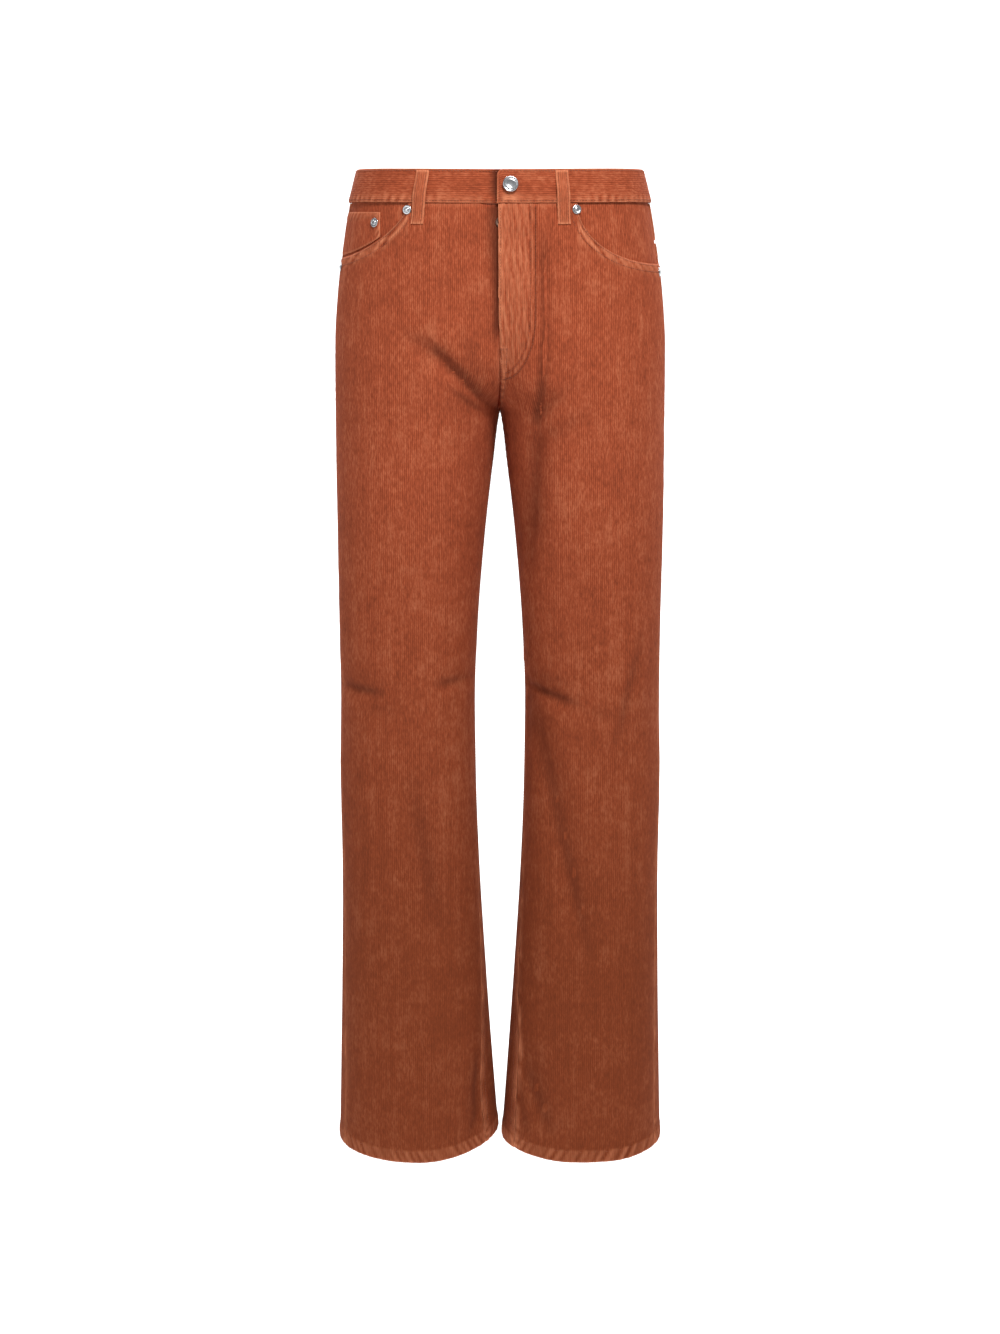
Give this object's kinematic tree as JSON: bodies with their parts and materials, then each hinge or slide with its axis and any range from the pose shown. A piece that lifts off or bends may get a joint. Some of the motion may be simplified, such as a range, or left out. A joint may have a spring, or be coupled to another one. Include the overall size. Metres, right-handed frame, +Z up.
{
  "type": "corduroy trousers",
  "caption": "Straight five-pocket corduroy trousers, filled out as when worn, with a waistband, belt loops, a lapped fly and open hems.",
  "frame": {"origin": "middle of the waistband's ring, at half its height, where the wearer's waist holds the trousers up", "axes": "+Z up the body, -Y to the front, +X to the wearer's left"},
  "size_m": [0.3716, 0.2546, 1.1074],
  "materials": {
    "corduroy": "rust corduroy, fine upright wales, rubbed paler along seams and edges",
    "steel": "polished buttons and rivets"
  },
  "bodies": {
    "root": {"back_left_ankle": "corduroy", "back_left_hip": "corduroy", "back_left_knee": "corduroy", "back_pocket_left": "corduroy", "back_pocket_right": "corduroy", "back_right_ankle": "corduroy", "back_right_hip": "corduroy", "back_right_knee": "corduroy", "belt_loop_back_left": "corduroy", "belt_loop_back_right": "corduroy", "belt_loop_front_left": "corduroy", "belt_loop_front_right": "corduroy", "belt_loop_middle_back": "corduroy", "coin_pocket": "corduroy", "fly_button": "steel", "fly_underlap": "corduroy", "front_left_ankle": "corduroy", "front_left_hip": "corduroy", "front_left_knee": "corduroy", "front_right_ankle": "corduroy", "front_right_hip": "corduroy", "front_right_knee": "corduroy", "pocket_facing_left": "corduroy", "pocket_facing_right": "corduroy", "rivet_coin": "steel", "rivet_front_left": "steel", "rivet_front_right": "steel", "rivet_side_left": "steel", "rivet_side_right": "steel", "waist_button": "steel", "waistband": "corduroy", "yoke_left": "corduroy", "yoke_right": "corduroy"}
  },
  "joints": []
}
